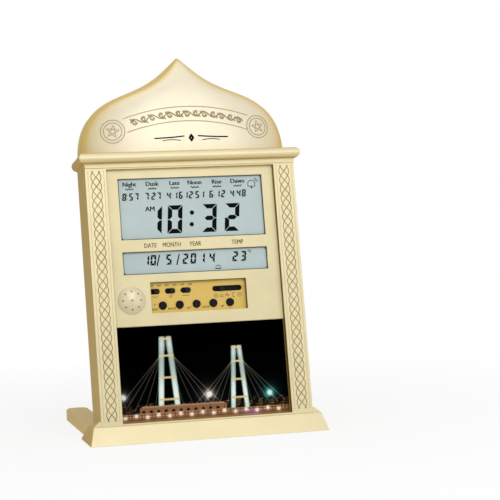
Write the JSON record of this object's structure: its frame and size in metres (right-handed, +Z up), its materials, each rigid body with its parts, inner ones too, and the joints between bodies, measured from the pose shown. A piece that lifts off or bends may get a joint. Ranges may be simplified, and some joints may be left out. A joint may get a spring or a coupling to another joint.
{
  "type": "azan clock",
  "caption": "Domed table clock that leans back on two feet, with two displays, push buttons, slide switches, a speaker, a night picture and a battery bay.",
  "frame": {"origin": "on the floor under the centre of the clock's bounding box, feet included", "axes": "+X to the right seen from the front, +Y towards the back, +Z up; the front faces -Y and leans back"},
  "size_m": [0.224, 0.1836, 0.3522],
  "materials": {
    "gold_moulding": "satin metallic gold paint on ABS",
    "panel_gold": "pale satin gold paint on ABS",
    "cap_cream": "pale satin gold",
    "lcd_glass": "grey-blue reflective display",
    "plate_gold": "deep gold print",
    "black_plastic": "matt black",
    "cover_black": "matt dark slate",
    "print_card": "glossy printed card",
    "board_backing": "grey board",
    "circuit_board": "green solder mask",
    "component_black": "moulded components",
    "speaker_metal": "pressed steel",
    "contact_steel": "nickel plated",
    "screw_steel": "black oxide",
    "cell_jacket": "printed plastic jacket"
  },
  "bodies": {
    "case": {"case_shell": "gold_moulding", "dome_hood": "gold_moulding", "cornice": "gold_moulding", "plinth": "gold_moulding", "foot_left": "gold_moulding", "foot_right": "gold_moulding", "front_panel": "panel_gold", "picture_card": "print_card", "picture_backing": "board_backing", "speaker_cap": "cap_cream", "speaker_driver": "speaker_metal", "lcd_main": "lcd_glass", "lcd_date": "lcd_glass", "lcd_carrier": "black_plastic", "main_board": "circuit_board", "board_parts": "component_black", "control_plate": "plate_gold", "slide_housings": "component_black", "tact_switches": "component_black", "control_board": "circuit_board", "back_cover": "cover_black", "battery_box": "cover_black", "contact_strips": "contact_steel", "contact_springs": "contact_steel", "case_screws": "screw_steel", "foot_screws": "screw_steel"},
    "button_1_body": {"button_1": "black_plastic"},
    "button_2_body": {"button_2": "black_plastic"},
    "button_3_body": {"button_3": "black_plastic"},
    "button_4_body": {"button_4": "black_plastic"},
    "button_5_body": {"button_5": "black_plastic"},
    "switch_1_body": {"switch_knob_1": "black_plastic"},
    "switch_2_body": {"switch_knob_2": "black_plastic"},
    "switch_3_body": {"switch_knob_3": "black_plastic"},
    "selector_body": {"selector_knob": "black_plastic"},
    "cell_1_body": {"cell_1": "cell_jacket"},
    "cell_2_body": {"cell_2": "cell_jacket"},
    "cell_3_body": {"cell_3": "cell_jacket"}
  },
  "joints": [
    {"name": "button_1_press", "type": "slide", "parent": "case", "child": "button_1_body", "axis": [0, 0.9848, -0.1736], "range_m": [0, 0.0008], "stiffness_N_per_m": 300, "springref_m": -0.0004},
    {"name": "button_2_press", "type": "slide", "parent": "case", "child": "button_2_body", "axis": [0, 0.9848, -0.1736], "range_m": [0, 0.0008], "stiffness_N_per_m": 300, "springref_m": -0.0004},
    {"name": "button_3_press", "type": "slide", "parent": "case", "child": "button_3_body", "axis": [0, 0.9848, -0.1736], "range_m": [0, 0.0008], "stiffness_N_per_m": 300, "springref_m": -0.0004},
    {"name": "button_4_press", "type": "slide", "parent": "case", "child": "button_4_body", "axis": [0, 0.9848, -0.1736], "range_m": [0, 0.0008], "stiffness_N_per_m": 300, "springref_m": -0.0004},
    {"name": "button_5_press", "type": "slide", "parent": "case", "child": "button_5_body", "axis": [0, 0.9848, -0.1736], "range_m": [0, 0.0008], "stiffness_N_per_m": 300, "springref_m": -0.0004},
    {"name": "switch_1_slide", "type": "slide", "parent": "case", "child": "switch_1_body", "axis": [-1, 0, 0], "range_m": [0, 0.0036]},
    {"name": "switch_2_slide", "type": "slide", "parent": "case", "child": "switch_2_body", "axis": [-1, 0, 0], "range_m": [0, 0.0036]},
    {"name": "switch_3_slide", "type": "slide", "parent": "case", "child": "switch_3_body", "axis": [-1, 0, 0], "range_m": [0, 0.0036]},
    {"name": "selector_slide", "type": "slide", "parent": "case", "child": "selector_body", "axis": [1, 0, 0], "range_m": [-0.0054, 0.0162]},
    {"name": "cell_1_lift", "type": "slide", "parent": "case", "child": "cell_1_body", "axis": [0, 0.9848, -0.1736], "range_m": [0, 0.025]},
    {"name": "cell_2_lift", "type": "slide", "parent": "case", "child": "cell_2_body", "axis": [0, 0.9848, -0.1736], "range_m": [0, 0.025]},
    {"name": "cell_3_lift", "type": "slide", "parent": "case", "child": "cell_3_body", "axis": [0, 0.9848, -0.1736], "range_m": [0, 0.025]}
  ]
}
